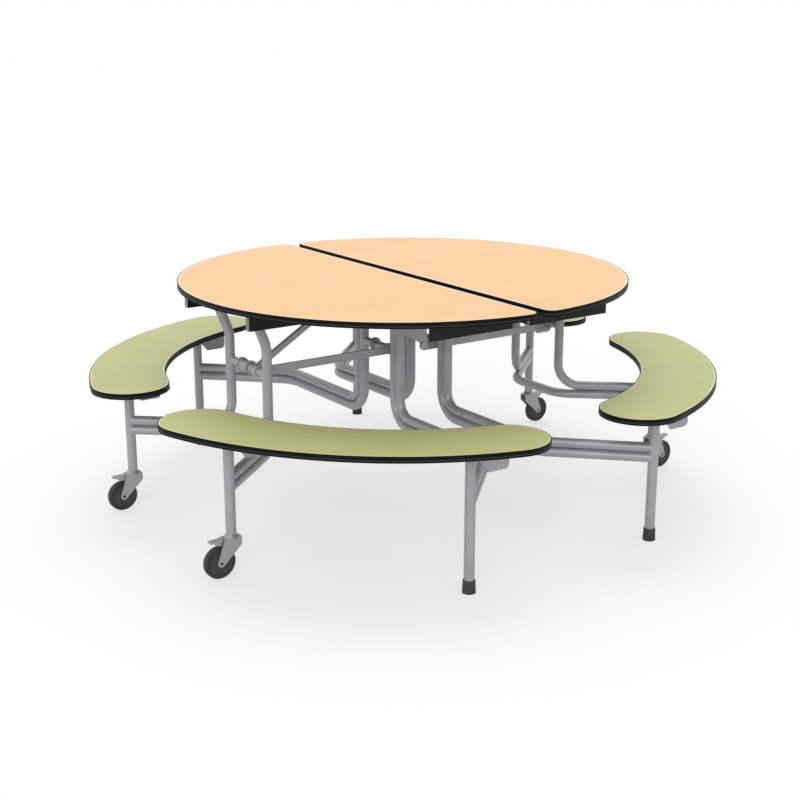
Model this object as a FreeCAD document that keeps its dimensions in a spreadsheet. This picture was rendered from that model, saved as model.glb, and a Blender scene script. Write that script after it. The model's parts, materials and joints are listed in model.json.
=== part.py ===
"""Round cafeteria table that folds in two halves, with four curved benches.

Millimetres. +Z is up, the floor is z = 0 and the origin is on the floor under the
middle of the table top. The seam between the halves runs along Y. "left" is -X,
"right" is +X, "front" is -Y and "rear" is +Y. Each half is a parallelogram: the
table half, its link bar and its two benches all swing about Y between an outer
frame on casters and the centre frame, which stands on four rubber-tipped legs.
"""
import FreeCAD, Part
import math
import os
import re

V = FreeCAD.Vector
doc = FreeCAD.newDocument("cafeteria_table")

SIDES = {"left": -1, "right": 1}
ENDS = {"front": -1, "rear": 1}
UP = V(0, 0, 1)
ALONG_X = V(1, 0, 0)
ALONG_Y = V(0, 1, 0)

# ---------------------------------------------------------------- the size sheet

DRIVING = {
    "table_height": 762.0,        # floor to the top of the table
    "top_radius": 740.0,          # rounded rim of each table half
    "top_gap": 32.0,              # open seam between the two halves
    "top_thick": 19.0,
    "top_corner": 35.0,           # rounded corner where the rim meets the seam
    "edge_thick": 3.0,            # moulded edge around tops and seats
    "seat_height": 460.0,         # floor to the top of a bench
    "seat_thick": 19.0,
    "seat_width": 249.0,          # across a bench, from its inner to its outer rim
    "seat_end_angle": 29.4,       # from a bench's middle to the centre of its round end
    "bench_radius": 921.5,        # middle line of the benches, where their legs stand
    "bench_shift": 9.5,           # benches are drawn about this far from the seam
    "leg_angle": 22.65,           # from a bench's middle to each of its legs
    "tube_radius": 15.9,          # frame tube
    "tube_wall": 1.8,
    "weld_gap": 0.3,              # daylight between pieces that are welded or seated
    "arm_x": 98.0,                # centre uprights and their arms, from the seam
    "arm_pair_y": 108.0,          # middle of each pair of centre uprights
    "arm_level": 290.0,           # height of the line between upper and lower tubes
    "arm_bend": 90.0,             # foot bend of the lower tube
    "arm_knee_bend": 110.0,       # level bend of the arms towards the bench leg
    "table_leg_y": 121.6,
    "table_leg_bend": 80.0,       # foot bend of an outer table leg
    "table_leg_crook": 107.5,     # bend at the top of an outer table leg
    "crook_angle": 21.7,          # lean of the leg's top from upright
    "crook_reach": 36.6,          # top pivot stands this far outside the leg
    "lower_tube_bend": 110.0,
    "pivot_drop": 35.0,           # top pivots below the underside of the table top
    "link_pivot_height": 527.0,
    "bench_pivot_drop": 29.0,     # bench pivots below the underside of a bench
    "bolt_radius": 5.0,           # every pivot bolt
    "bolt_play": 0.08,            # running fit of a bolt or tube in its bore
    "open_play": 0.8,             # fit at the end of a link that follows by geometry
    "bolt_head": 8.5,             # radius of a bolt head
    "bolt_head_thick": 4.0,
    "plate": 3.0,                 # sheet of brackets and forks
    "side_play": 0.6,             # sheet cheek to tube, each side
    "pivot_tube_radius": 13.5,
    "hub_radius": 18.5,
    "link_height": 25.0,
    "link_thick": 10.0,
    "link_y": -62.0,
    "link_sleeve": 24.0,          # width of a link bar's ring
    "left_link_drop": 3.0,        # bar below the line of its pivots
    "right_link_drop": 11.0,
    "link_tail": 58.0,            # right link bar past its centre pivot
    "arm_collar_y": 26.0,
    "arm_collar_length": 24.0,
    "frame_collar_y": 13.0,
    "frame_collar_length": 62.0,
    "lift_arm_y": -40.0,
    "lift_arm_thick": 14.0,
    "lift_arm_height": 18.0,
    "lift_arm_length": 400.0,
    "lift_roller": 10.0,
    "beam_width": 30.0,
    "beam_height": 36.0,
    "bracket_length": 60.0,
    "bracket_nose": 13.0,
    "apron_height": 53.0,
    "apron_thick": 20.0,
    "apron_y": 186.0,
    "apron_wide_y": 227.0,        # long aprons at the left rear and right front
    "apron_reach": 698.0,         # long apron's outer end, from the seam
    "apron_start": 22.0,
    "seam_apron_y": 606.0,
    "seam_apron_height": 53.0,
    "seam_apron_length": 312.0,
    "seam_apron_near": 17.0,      # inner end, from the middle of the seam
    "seam_apron_set": 52.0,       # inner end beside a seam catch
    "seam_apron_flange": 30.0,
    "catch_y": 601.5,
    "catch_drop": 25.0,
    "catch_tip": 14.0,            # catch plate past the middle of the seam
    "catch_window": 29.0,         # length of the opening in the catch plate
    "catch_window_height": 10.0,
    "latch_y": 144.0,
    "latch_reach": 152.0,
    "latch_drop": 200.0,
    "latch_inset": 10.0,
    "latch_boss": 14.0,
    "bench_bracket_reach": 124.0, # bench bracket past its leg
    "bench_bracket_drop": 80.0,
    "bench_bracket_nose": 15.3,
    "tip_height": 40.0,
    "tip_top_radius": 18.5,
    "tip_foot_radius": 20.5,
    "tip_floor": 5.0,             # rubber under the leg
    "leg_crown": 10.0,            # top of a leg above its bench pivot
    "caster_leg_foot": 133.0,
    "leg_hole": 2.8,              # radius of the pin hole in a caster leg's foot
    "leg_hole_rise": 14.0,        # pin hole above the foot
    "leg_hole_turn": 108.0,       # pin hole, clockwise from the lower tube
    "wheel_radius": 50.0,
    "wheel_width": 24.0,
    "caster_trail": 42.0,
    "fork_play": 1.2,             # wheel to fork, each side
    "fork_top": 123.0,
    "stem_radius": 6.0,
    "stem_length": 40.0,
    "axle_radius": 4.0,
    "axle_bore": 2.8,
    "swivel_radius": 24.0,        # flared cap over the fork head
    "fork_front": 27.0,           # fork head ahead of the stem
    "fork_back": 29.0,
    "fork_skirt": 25.0,           # depth of the fork head's side
    "wheel_rim": 14.0,            # rubber tread on the wheel's disc
    "pedal_pin_x": 16.0,          # pedal pin behind the stem
    "pedal_pin_drop": 16.0,       # pedal pin below the top of the fork
    "pedal_reach": 74.0,
    "pedal_thick": 5.0,
    "pedal_shoe": 3.2,            # brake shoe above the wheel
}

sheet = doc.addObject("Spreadsheet::Sheet", "Sizes")


VALUES = {}


def put(name, value):
    """Write one size into the next row of the sheet, under its own alias."""
    VALUES[name] = float(value)
    row = len(VALUES)
    sheet.set(f"A{row}", name)
    sheet.set(f"B{row}", repr(VALUES[name]))
    sheet.setAlias(f"B{row}", name)


def size(name):
    return VALUES[name]


for driving_name, driving_value in DRIVING.items():
    put(driving_name, driving_value)


def cos_deg(angle):
    return math.cos(math.radians(angle))


def sin_deg(angle):
    return math.sin(math.radians(angle))


def derive_sizes():
    """Work out the sizes that follow from the driving ones, and list them too."""
    radius = size("bench_radius")
    near = 45.0 - size("leg_angle")
    far = 45.0 + size("leg_angle")
    reach = radius * (cos_deg(near) - cos_deg(far))
    tube = size("tube_radius")
    underside = size("table_height") - size("top_thick")
    pivot = underside - size("pivot_drop")
    step = tube + size("weld_gap") / 2
    put("caster_x", size("bench_shift") + radius * cos_deg(near))
    put("caster_y", radius * sin_deg(near))
    put("glide_x", size("bench_shift") + radius * cos_deg(far))
    put("glide_y", radius * sin_deg(far))
    put("link_reach", reach)
    put("table_leg_x", size("arm_x") + reach)
    put("underside", underside)
    put("top_pivot_height", pivot)
    put("outer_pivot_x", size("arm_x") + reach + size("crook_reach"))
    put("inner_pivot_x", size("arm_x") + size("crook_reach"))
    put("upper_level", size("arm_level") + step)
    put("lower_level", size("arm_level") - step)
    put("lower_pair_y", size("arm_pair_y") - step)
    put("upper_pair_y", size("arm_pair_y") + step)
    put("beam_bottom", pivot - size("beam_height") / 2)
    put("seat_underside", size("seat_height") - size("seat_thick"))
    put("bench_pivot_height", size("seat_height") - size("seat_thick") - size("bench_pivot_drop"))
    put("leg_top", size("bench_pivot_height") + size("leg_crown"))
    put("cheek_gap", tube + size("side_play"))
    put("beam_cheek_gap", size("beam_width") / 2 + size("side_play"))
    put("fork_half_width", size("wheel_width") / 2 + size("fork_play") + size("plate"))
    rise = underside - size("lift_roller") - size("weld_gap") - size("link_pivot_height")
    put("lift_angle", math.degrees(math.asin(rise / size("lift_arm_length"))))


derive_sizes()
doc.recompute()

ALIAS = re.compile(r"\b(" + "|".join(sorted(VALUES, key=len, reverse=True)) + r")\b")


def bind(thing, prop, formula):
    """Tie a property to the sheet; bare words in the formula are its aliases."""
    thing.setExpression(prop, ALIAS.sub(r"Sizes.\1", str(formula)))


# ---------------------------------------------------------------- building blocks

NODES = []


def finish(thing, name):
    """Give a finished sub-part its own label and list it for export."""
    thing.Label = name
    NODES.append(thing)
    return thing


def place(thing, at, axis=UP):
    """Turn a primitive's Z onto axis and bind its position to three formulas."""
    thing.Placement = FreeCAD.Placement(V(0, 0, 0), FreeCAD.Rotation(UP, axis))
    for letter, formula in zip("xyz", at):
        bind(thing, f"Placement.Base.{letter}", formula)


def cylinder(name, radius, height, at, axis=UP):
    thing = doc.addObject("Part::Cylinder", name)
    bind(thing, "Radius", radius)
    bind(thing, "Height", height)
    place(thing, at, axis)
    return thing


def cone(name, foot, top, height, at):
    thing = doc.addObject("Part::Cone", name)
    bind(thing, "Radius1", foot)
    bind(thing, "Radius2", top)
    bind(thing, "Height", height)
    place(thing, at)
    return thing


def box(name, spans, at):
    """A box whose lowest corner is at the formulas in at."""
    thing = doc.addObject("Part::Box", name)
    for prop, formula in zip(("Length", "Width", "Height"), spans):
        bind(thing, prop, formula)
    place(thing, at)
    return thing


def across(sign, width, y):
    """Lowest Y of a piece of a given width that is centred on sign * y."""
    return f"{sign} * ({y}) - ({width}) / 2"


def fuse(name, pieces):
    thing = doc.addObject("Part::MultiFuse", name)
    thing.Shapes = pieces
    return thing


def cut(name, base, tools):
    thing = doc.addObject("Part::Cut", name)
    thing.Base = base
    thing.Tool = tools[0] if len(tools) == 1 else fuse(name + "_tools", tools)
    return thing


def group(name, pieces):
    """Separate solids that share one node."""
    thing = doc.addObject("Part::Compound", name)
    thing.Links = pieces
    return finish(thing, name)


def origin_plane(body, role):
    return [plane for plane in body.Origin.OriginFeatures if plane.Role == role][0]


def padded(name, loops, length, role="XY_Plane"):
    """A PartDesign body: one sketch of closed loops, padded by a formula."""
    body = doc.addObject("PartDesign::Body", name)
    sketch = body.newObject("Sketcher::SketchObject", name + "_outline")
    sketch.AttachmentSupport = [(origin_plane(body, role), "")]
    sketch.MapMode = "FlatFace"
    for loop in loops:
        for curve in loop:
            sketch.addGeometry(curve, False)
    pad = body.newObject("PartDesign::Pad", name + "_pad")
    pad.Profile = sketch
    bind(pad, "Length", length)
    body.Tip = pad
    return body


def revolved(name, outline):
    """A PartDesign body turned about its own Y axis from an outline in XY."""
    body = doc.addObject("PartDesign::Body", name)
    sketch = body.newObject("Sketcher::SketchObject", name + "_outline")
    sketch.AttachmentSupport = [(origin_plane(body, "XY_Plane"), "")]
    sketch.MapMode = "FlatFace"
    for curve in outline:
        sketch.addGeometry(curve, False)
    turned = body.newObject("PartDesign::Revolution", name + "_turned")
    turned.Profile = sketch
    turned.ReferenceAxis = (sketch, ["V_Axis"])
    turned.Angle = 360.0
    body.Tip = turned
    return body


def polygon(points):
    """Closed loop of straight sketch lines."""
    corners = [V(x, y, 0) for x, y in points]
    return [Part.LineSegment(a, b) for a, b in zip(corners, corners[1:] + corners[:1])]


def at_angle(radius, angle):
    return V(radius * cos_deg(angle), radius * sin_deg(angle), 0)


def rounded_path(points, bends):
    """Straight runs joined by tangent arcs, one bend radius for each inner point."""
    edges = []
    start = points[0]
    for before, corner, after, bend in zip(points, points[1:], points[2:], bends):
        back = (before - corner).normalize()
        ahead = (after - corner).normalize()
        half_turn = (math.pi - back.getAngle(ahead)) / 2
        run = bend * math.tan(half_turn)
        middle = (back + ahead).normalize() * (bend / math.cos(half_turn) - bend)
        first = corner + back * run
        last = corner + ahead * run
        edges.append(Part.LineSegment(start, first).toShape())
        edges.append(Part.Arc(first, corner + middle, last).toShape())
        start = last
    edges.append(Part.LineSegment(start, points[-1]).toShape())
    return Part.Wire(edges)


def swept(points, bends, radius):
    ring = Part.Wire(Part.makeCircle(radius, points[0], points[1] - points[0]))
    return rounded_path(points, bends).makePipeShell([ring], True, False)


def bent_tube(points, bends, trims):
    """Hollow frame tube along a bent route, coped where it meets upright tubes."""
    radius = size("tube_radius")
    tube = swept(points, bends, radius)
    tube = tube.cut(swept(points, bends, radius - size("tube_wall")))
    for post in trims:
        foot = V(post.x, post.y, 0)
        tube = tube.cut(Part.makeCylinder(radius + size("weld_gap") / 2, size("table_height"), foot))
    return max(tube.Solids, key=lambda solid: solid.Volume)


def shaped(name, shape):
    """A sub-part whose route has no sketch plane, set straight from its shape."""
    thing = doc.addObject("Part::Feature", name)
    thing.Shape = shape
    thing.Placement = FreeCAD.Placement()
    return thing


def pivot_bolt(name, x, y, z, half_grip):
    """Bolt along Y with a low head on each end, centred on y."""
    shank = cylinder(name + "_shank", "bolt_radius", f"2 * ({half_grip})",
                     (x, f"{y} - ({half_grip})", z), ALONG_Y)
    near = cylinder(name + "_near_head", "bolt_head", "bolt_head_thick",
                    (x, f"{y} - ({half_grip}) - bolt_head_thick", z), ALONG_Y)
    far = cylinder(name + "_far_head", "bolt_head", "bolt_head_thick",
                   (x, f"{y} + ({half_grip})", z), ALONG_Y)
    return fuse(name, [shank, near, far])


def bolt_bore(name, x, y, z, half_length, radius="bolt_radius + bolt_play"):
    return cylinder(name, radius, f"2 * ({half_length})",
                    (x, f"{y} - ({half_length})", z), ALONG_Y)


# ---------------------------------------------------------------- table halves


def half_disc(radius, corner, inset, side):
    """Half disc on one side of x = 0, its two seam corners rounded."""
    corner_y = math.sqrt((radius - corner) ** 2 - (corner + inset) ** 2)
    middle = V(side * (corner + inset), corner_y, 0)
    outward = middle * (1 / (radius - corner))
    rim = outward * radius
    touch = V(side * inset, corner_y, 0)
    elbow = middle + (V(-side, 0, 0) + outward).normalize() * corner

    def low(point):
        return V(point.x, -point.y, 0)

    return [
        Part.LineSegment(low(touch), touch),
        Part.Arc(touch, elbow, rim),
        Part.Arc(rim, V(side * radius, 0, 0), low(rim)),
        Part.Arc(low(rim), low(elbow), low(touch)),
    ]


def table_half(side_name):
    side = SIDES[side_name]
    edge = size("edge_thick")
    outer = half_disc(size("top_radius"), size("top_corner"), 0.0, side)
    inner = half_disc(size("top_radius") - edge, size("top_corner") - edge, edge, side)
    board = padded(f"{side_name}_top_board", [inner], "top_thick")
    rim = padded(f"{side_name}_top_edge", [outer, inner], "top_thick")
    for piece in (board, rim):
        place(piece, (f"{side} * top_gap / 2", "0", "underside"))
        finish(piece, piece.Name)


def lowest_x(side, near, far):
    """Lowest X of a piece that spans near to far from the seam."""
    return f"{near}" if side > 0 else f"-({far})"


def long_apron(side_name, end_name):
    """Box-section stiffener under the top, closed at its outer end."""
    side, end = SIDES[side_name], ENDS[end_name]
    middle_y = "apron_y" if side == end else "apron_wide_y"
    name = f"{side_name}_{end_name}_apron"
    solid = box(name + "_bar", ("apron_reach - apron_start", "apron_thick", "apron_height"),
                (lowest_x(side, "apron_start", "apron_reach"), across(end, "apron_thick", middle_y),
                 "underside - apron_height"))
    hollow = box(name + "_hollow",
                 ("apron_reach - apron_start", "apron_thick - 2 * plate", "apron_height - 2 * plate"),
                 (lowest_x(side, "apron_start - plate", "apron_reach - plate"),
                  across(end, "apron_thick - 2 * plate", middle_y),
                  "underside - apron_height + plate"))
    return cut(name, solid, [hollow])


def seam_apron(side_name, end_name):
    """Short angle under the rim beside the seam."""
    side, end = SIDES[side_name], ENDS[end_name]
    near = "seam_apron_near" if side == end else "seam_apron_set"
    name = f"{side_name}_{end_name}_seam_apron"
    start = lowest_x(side, near, f"{near} + seam_apron_length")
    web = box(name + "_web", ("seam_apron_length", "plate", "seam_apron_height"),
              (start, across(end, "plate", "seam_apron_y"), "underside - seam_apron_height"))
    flange_y = "seam_apron_y - seam_apron_flange / 2 + plate / 2"
    flange = box(name + "_flange", ("seam_apron_length", "seam_apron_flange", "plate"),
                 (start, across(end, "seam_apron_flange", flange_y), "underside - plate"))
    return fuse(name, [web, flange])


def seam_catch(side_name, end_name):
    """Windowed plate that reaches across the open seam from one half."""
    side, end = SIDES[side_name], ENDS[end_name]
    name = f"{side_name}_seam_catch"
    inner, outer = "-catch_tip", "seam_apron_set - weld_gap"
    plate = box(name + "_plate", ("seam_apron_set - weld_gap + catch_tip", "plate", "catch_drop"),
                (lowest_x(side, inner, outer), across(end, "plate", "catch_y"), "underside - catch_drop"))
    flange_y = "catch_y - seam_apron_flange / 2 + plate / 2"
    flange = box(name + "_flange", ("seam_apron_set - weld_gap - top_gap / 2", "seam_apron_flange", "plate"),
                 (lowest_x(side, "top_gap / 2", outer), across(end, "seam_apron_flange", flange_y),
                  "underside - plate"))
    window_x = lowest_x(side, "catch_tip", "catch_tip + catch_window")
    window = box(name + "_window", ("catch_window", "3 * plate", "catch_window_height"),
                 (window_x, across(end, "3 * plate", "catch_y"),
                  "underside - catch_drop / 2 - catch_window_height / 2"))
    finish(cut(name, fuse(name + "_solid", [plate, flange]), [window]), name)


def clevis(name, x, y, gap):
    """Sheet clevis screwed under the top, with its pivot bolt."""
    web = box(name + "_web", ("bracket_length", f"2 * ({gap}) + 2 * plate", "plate"),
              (f"{x} - bracket_length / 2", f"{y} - ({gap}) - plate", "underside - plate"))
    cheeks = []
    for tag, low_y in (("near", f"{y} - ({gap}) - plate"), ("far", f"{y} + ({gap})")):
        cheeks.append(box(f"{name}_{tag}_cheek", ("2 * bracket_nose", "plate", "pivot_drop"),
                          (f"{x} - bracket_nose", low_y, "top_pivot_height")))
        cheeks.append(cylinder(f"{name}_{tag}_nose", "bracket_nose", "plate",
                               (x, low_y, "top_pivot_height"), ALONG_Y))
    bore = bolt_bore(name + "_bore", x, y, "top_pivot_height", f"{gap} + 2 * plate", "bolt_radius")
    bolt = pivot_bolt(name + "_bolt", x, y, "top_pivot_height", f"{gap} + plate")
    return [cut(name, fuse(name + "_solid", [web] + cheeks), [bore]), bolt]


def top_brackets(side_name):
    side = SIDES[side_name]
    pieces = []
    for end_name, end in ENDS.items():
        outer = f"{side_name}_{end_name}_outer_clevis"
        inner = f"{side_name}_{end_name}_inner_clevis"
        pieces += clevis(outer, f"{side} * outer_pivot_x", f"{end} * table_leg_y", "cheek_gap")
        pieces += clevis(inner, f"{side} * inner_pivot_x", f"{end} * arm_pair_y", "beam_cheek_gap")
    group(f"{side_name}_top_brackets", pieces)


def latch_plate():
    """Hanging plate under the left half, swept down to a boss beside the seam."""
    seam = size("latch_inset") - size("top_gap") / 2
    reach, drop, boss = size("latch_reach"), size("latch_drop"), size("latch_boss")
    brow = 0.7 * drop
    belly = V(seam - 0.45 * reach, -0.82 * drop, 0)
    heel = V(seam, -drop, 0)
    toe = V(seam - boss, -drop, 0)
    back = V(-reach, -brow, 0)
    outline = [
        Part.LineSegment(V(-reach, 0, 0), V(seam, 0, 0)),
        Part.LineSegment(V(seam, 0, 0), heel),
        Part.LineSegment(heel, toe),
        Part.Arc(toe, belly, back),
        Part.LineSegment(back, V(-reach, 0, 0)),
    ]
    plate = padded("latch_plate_sheet", [outline], "plate", "XZ_Plane")
    bind(plate, "Placement.Base.y", "-latch_y")
    bind(plate, "Placement.Base.z", "underside")
    boss_at = ("latch_inset - top_gap / 2 - latch_boss", "-latch_y - 3 * plate", "underside - latch_drop")
    stud = cylinder("latch_plate_boss", "latch_boss", "3 * plate", boss_at, ALONG_Y)
    finish(fuse("latch_plate", [plate, stud]), "latch_plate")


# ---------------------------------------------------------------- centre frame


def arm_route(side, end, pair_y, level):
    """From the top of a centre upright down, outwards along Y and to its bench leg."""
    x, y = side * size("arm_x"), end * pair_y
    knee = size("glide_y") - (size("glide_x") - size("arm_x"))
    return [
        V(x, y, size("beam_bottom") - size("weld_gap")),
        V(x, y, level),
        V(x, end * knee, level),
        V(side * size("glide_x"), end * size("glide_y"), level),
    ]


def centre_arm(side_name, end_name):
    side, end = SIDES[side_name], ENDS[end_name]
    bend = size("arm_bend")
    tight = bend - 2 * size("tube_radius") - size("weld_gap")
    knee = size("arm_knee_bend")
    post = V(side * size("glide_x"), end * size("glide_y"), 0)
    lower_route = arm_route(side, end, size("lower_pair_y"), size("lower_level"))
    upper_route = arm_route(side, end, size("upper_pair_y"), size("upper_level"))
    name = f"{side_name}_{end_name}_arm"
    lower = shaped(name + "_lower", bent_tube(lower_route, [bend, knee], [post]))
    upper = shaped(name + "_upper", bent_tube(upper_route, [tight, knee], [post]))
    group(name, [lower, upper])


def upright_tube(name, x, y, foot, top):
    outer = cylinder(name + "_outer", "tube_radius", f"{top} - {foot}", (x, y, foot))
    inner = cylinder(name + "_bore", "tube_radius - tube_wall", f"{top} - {foot} + 2", (x, y, f"{foot} - 1"))
    return outer, inner


def glide_legs():
    legs, tips = [], []
    for side_name, side in SIDES.items():
        for end_name, end in ENDS.items():
            name = f"{side_name}_{end_name}_glide"
            x, y = f"{side} * glide_x", f"{end} * glide_y"
            outer, inner = upright_tube(name + "_leg", x, y, "tip_floor", "leg_top")
            bore = bolt_bore(name + "_leg_pivot", x, y, "bench_pivot_height", "2 * tube_radius",
                             "bolt_radius + open_play")
            legs.append(cut(name + "_leg", outer, [inner, bore]))
            rubber = cone(name + "_tip_rubber", "tip_foot_radius", "tip_top_radius", "tip_height",
                          (x, y, "0"))
            socket = cylinder(name + "_tip_socket", "tube_radius + bolt_play", "tip_height",
                              (x, y, "tip_floor"))
            tips.append(cut(name + "_tip", rubber, [socket]))
    group("glide_legs", legs)
    group("glide_tips", tips)


def pivot_tube(name, x, half_length, collar):
    """Level tube along Y between two uprights, with one fixed collar."""
    tube = cylinder(name + "_tube", "pivot_tube_radius", f"2 * {half_length}",
                    (x, f"-{half_length}", "link_pivot_height"), ALONG_Y)
    sleeve = cylinder(name + "_collar", "hub_radius", f"{collar}_length",
                      (x, f"{collar}_y - {collar}_length / 2", "link_pivot_height"), ALONG_Y)
    bore = cylinder(name + "_bore", "pivot_tube_radius - tube_wall", f"2 * {half_length} + 2",
                    (x, f"-{half_length} - 1", "link_pivot_height"), ALONG_Y)
    posts = [cylinder(f"{name}_cope_{end_name}", "tube_radius + weld_gap / 2", "table_height",
                      (x, f"{end} * {half_length}", "0")) for end_name, end in ENDS.items()]
    return cut(name, fuse(name + "_solid", [tube, sleeve]), [bore] + posts)


def centre_pivot_tubes():
    tubes = []
    for side_name, side in SIDES.items():
        name = f"{side_name}_centre_pivot_tube"
        tubes.append(pivot_tube(name, f"{side} * arm_x", "lower_pair_y", "arm_collar"))
    group("centre_pivot_tubes", tubes)


def centre_beam(end_name):
    """Box-section beam on top of a left and a right pair; its ends carry the inner pivots."""
    end = ENDS[end_name]
    name = f"{end_name}_centre_beam"
    bar = box(name + "_bar", ("2 * inner_pivot_x", "beam_width", "beam_height"),
              ("-inner_pivot_x", across(end, "beam_width", "arm_pair_y"), "beam_bottom"))
    noses, bores = [], []
    for side_name, side in SIDES.items():
        noses.append(cylinder(f"{name}_{side_name}_nose", "beam_height / 2", "beam_width",
                              (f"{side} * inner_pivot_x", across(end, "beam_width", "arm_pair_y"),
                               "top_pivot_height"), ALONG_Y))
        bores.append(bolt_bore(f"{name}_{side_name}_bore", f"{side} * inner_pivot_x", f"{end} * arm_pair_y",
                               "top_pivot_height", "beam_width"))
    hollow = box(name + "_hollow", ("2 * (inner_pivot_x - beam_height / 2)", "beam_width - 2 * plate",
                                    "beam_height - 2 * plate"),
                 ("-(inner_pivot_x - beam_height / 2)", across(end, "beam_width - 2 * plate", "arm_pair_y"),
                  "beam_bottom + plate"))
    slot = box(name + "_slot", ("inner_pivot_x", "beam_width / 3", "beam_height / 2"),
               ("-inner_pivot_x / 2", across(end, "beam_width / 3", "arm_pair_y"), "beam_bottom - plate"))
    return cut(name, fuse(name + "_solid", [bar] + noses), [hollow, slot] + bores)


# ---------------------------------------------------------------- outer frames


def table_leg(side_name, end_name):
    """Bent tube from a caster leg, up beside the seam side and out to the top pivot."""
    side, end = SIDES[side_name], ENDS[end_name]
    x, y = side * size("table_leg_x"), end * size("table_leg_y")
    lean = V(side * sin_deg(size("crook_angle")), 0, cos_deg(size("crook_angle")))
    pivot = V(side * size("outer_pivot_x"), y, size("top_pivot_height"))
    crook = pivot - lean * (size("crook_reach") / sin_deg(size("crook_angle")))
    post = V(side * size("caster_x"), end * size("caster_y"), 0)
    route = [
        V(post.x, post.y, size("upper_level")),
        V(x, y, size("upper_level")),
        crook,
        pivot + lean * size("bolt_radius") * 2,
    ]
    tube = bent_tube(route, [size("table_leg_bend"), size("table_leg_crook")], [post])
    reach = 2 * size("tube_radius")
    bore = Part.makeCylinder(size("bolt_radius") + size("bolt_play"), 2 * reach,
                             pivot - ALONG_Y * reach, ALONG_Y)
    name = f"{side_name}_{end_name}_table_leg"
    finish(shaped(name, tube.cut(bore)), name)


def lower_tube(side_name):
    """One tube from caster leg to caster leg, bent inwards under the table legs."""
    side = SIDES[side_name]
    level = size("lower_level")
    posts = [V(side * size("caster_x"), end * size("caster_y"), level) for end in (-1, 1)]
    bends = [V(side * size("table_leg_x"), end * size("table_leg_y"), level) for end in (-1, 1)]
    route = [posts[0], bends[0], bends[1], posts[1]]
    tube = bent_tube(route, [size("lower_tube_bend")] * 2, posts)
    name = f"{side_name}_lower_tube"
    finish(shaped(name, tube), name)


def caster_legs(side_name):
    """Upright tubes over the casters, each with a stem socket in its foot."""
    side = SIDES[side_name]
    legs = []
    for end_name, end in ENDS.items():
        name = f"{side_name}_{end_name}_caster_leg"
        x, y = f"{side} * caster_x", f"{end} * caster_y"
        outer, inner = upright_tube(name, x, y, "caster_leg_foot", "leg_top")
        shell = cut(name + "_shell", outer, [inner])
        plug = cylinder(name + "_plug", "tube_radius - tube_wall / 2", "stem_length",
                        (x, y, "caster_leg_foot"))
        socket = cylinder(name + "_socket", "stem_radius + bolt_play", "stem_length + 2",
                          (x, y, "caster_leg_foot - 1"))
        bore = bolt_bore(name + "_pivot", x, y, "bench_pivot_height", "2 * tube_radius")
        inward = math.atan2(end * (size("table_leg_y") - size("caster_y")),
                            side * (size("table_leg_x") - size("caster_x")))
        facing = inward - math.radians(size("leg_hole_turn"))
        hole = cylinder(name + "_hole", "leg_hole", "2 * tube_radius",
                        (x, y, "caster_leg_foot + leg_hole_rise"), V(math.cos(facing), math.sin(facing), 0))
        legs.append(cut(name, fuse(name + "_solid", [shell, plug]), [socket, bore, hole]))
    group(f"{side_name}_caster_legs", legs)


def frame_pivot_tube(side_name):
    name = f"{side_name}_pivot_tube"
    x = f"{SIDES[side_name]} * table_leg_x"
    finish(pivot_tube(name, x, "table_leg_y", "frame_collar"), name)


# ---------------------------------------------------------------- links and lift arms


def link_bar(side_name):
    """Flat bar from the centre pivot tube to the outer one, with a ring at each end."""
    side = SIDES[side_name]
    name = f"{side_name}_link_bar"
    low_y = "link_y - link_thick / 2"
    tail = "link_tail" if side > 0 else "0"
    bar = box(name + "_bar", (f"link_reach + {tail}", "link_thick", "link_height"),
              (lowest_x(side, f"arm_x - {tail}", "table_leg_x"), low_y,
               f"link_pivot_height - {side_name}_link_drop - link_height / 2"))
    plays = {"left": ("open_play", "bolt_play"), "right": ("bolt_play", "open_play")}
    rings, bores = [], []
    for x, play in zip(("arm_x", "table_leg_x"), plays[side_name]):
        rings.append(cylinder(f"{name}_{x}_ring", "hub_radius", "link_sleeve",
                              (f"{side} * {x}", "link_y - link_sleeve / 2", "link_pivot_height"), ALONG_Y))
        bores.append(cylinder(f"{name}_{x}_bore", f"pivot_tube_radius + {play}", "2 * link_sleeve",
                              (f"{side} * {x}", "link_y - link_sleeve", "link_pivot_height"), ALONG_Y))
    finish(cut(name, fuse(name + "_solid", [bar] + rings), bores), name)


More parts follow.
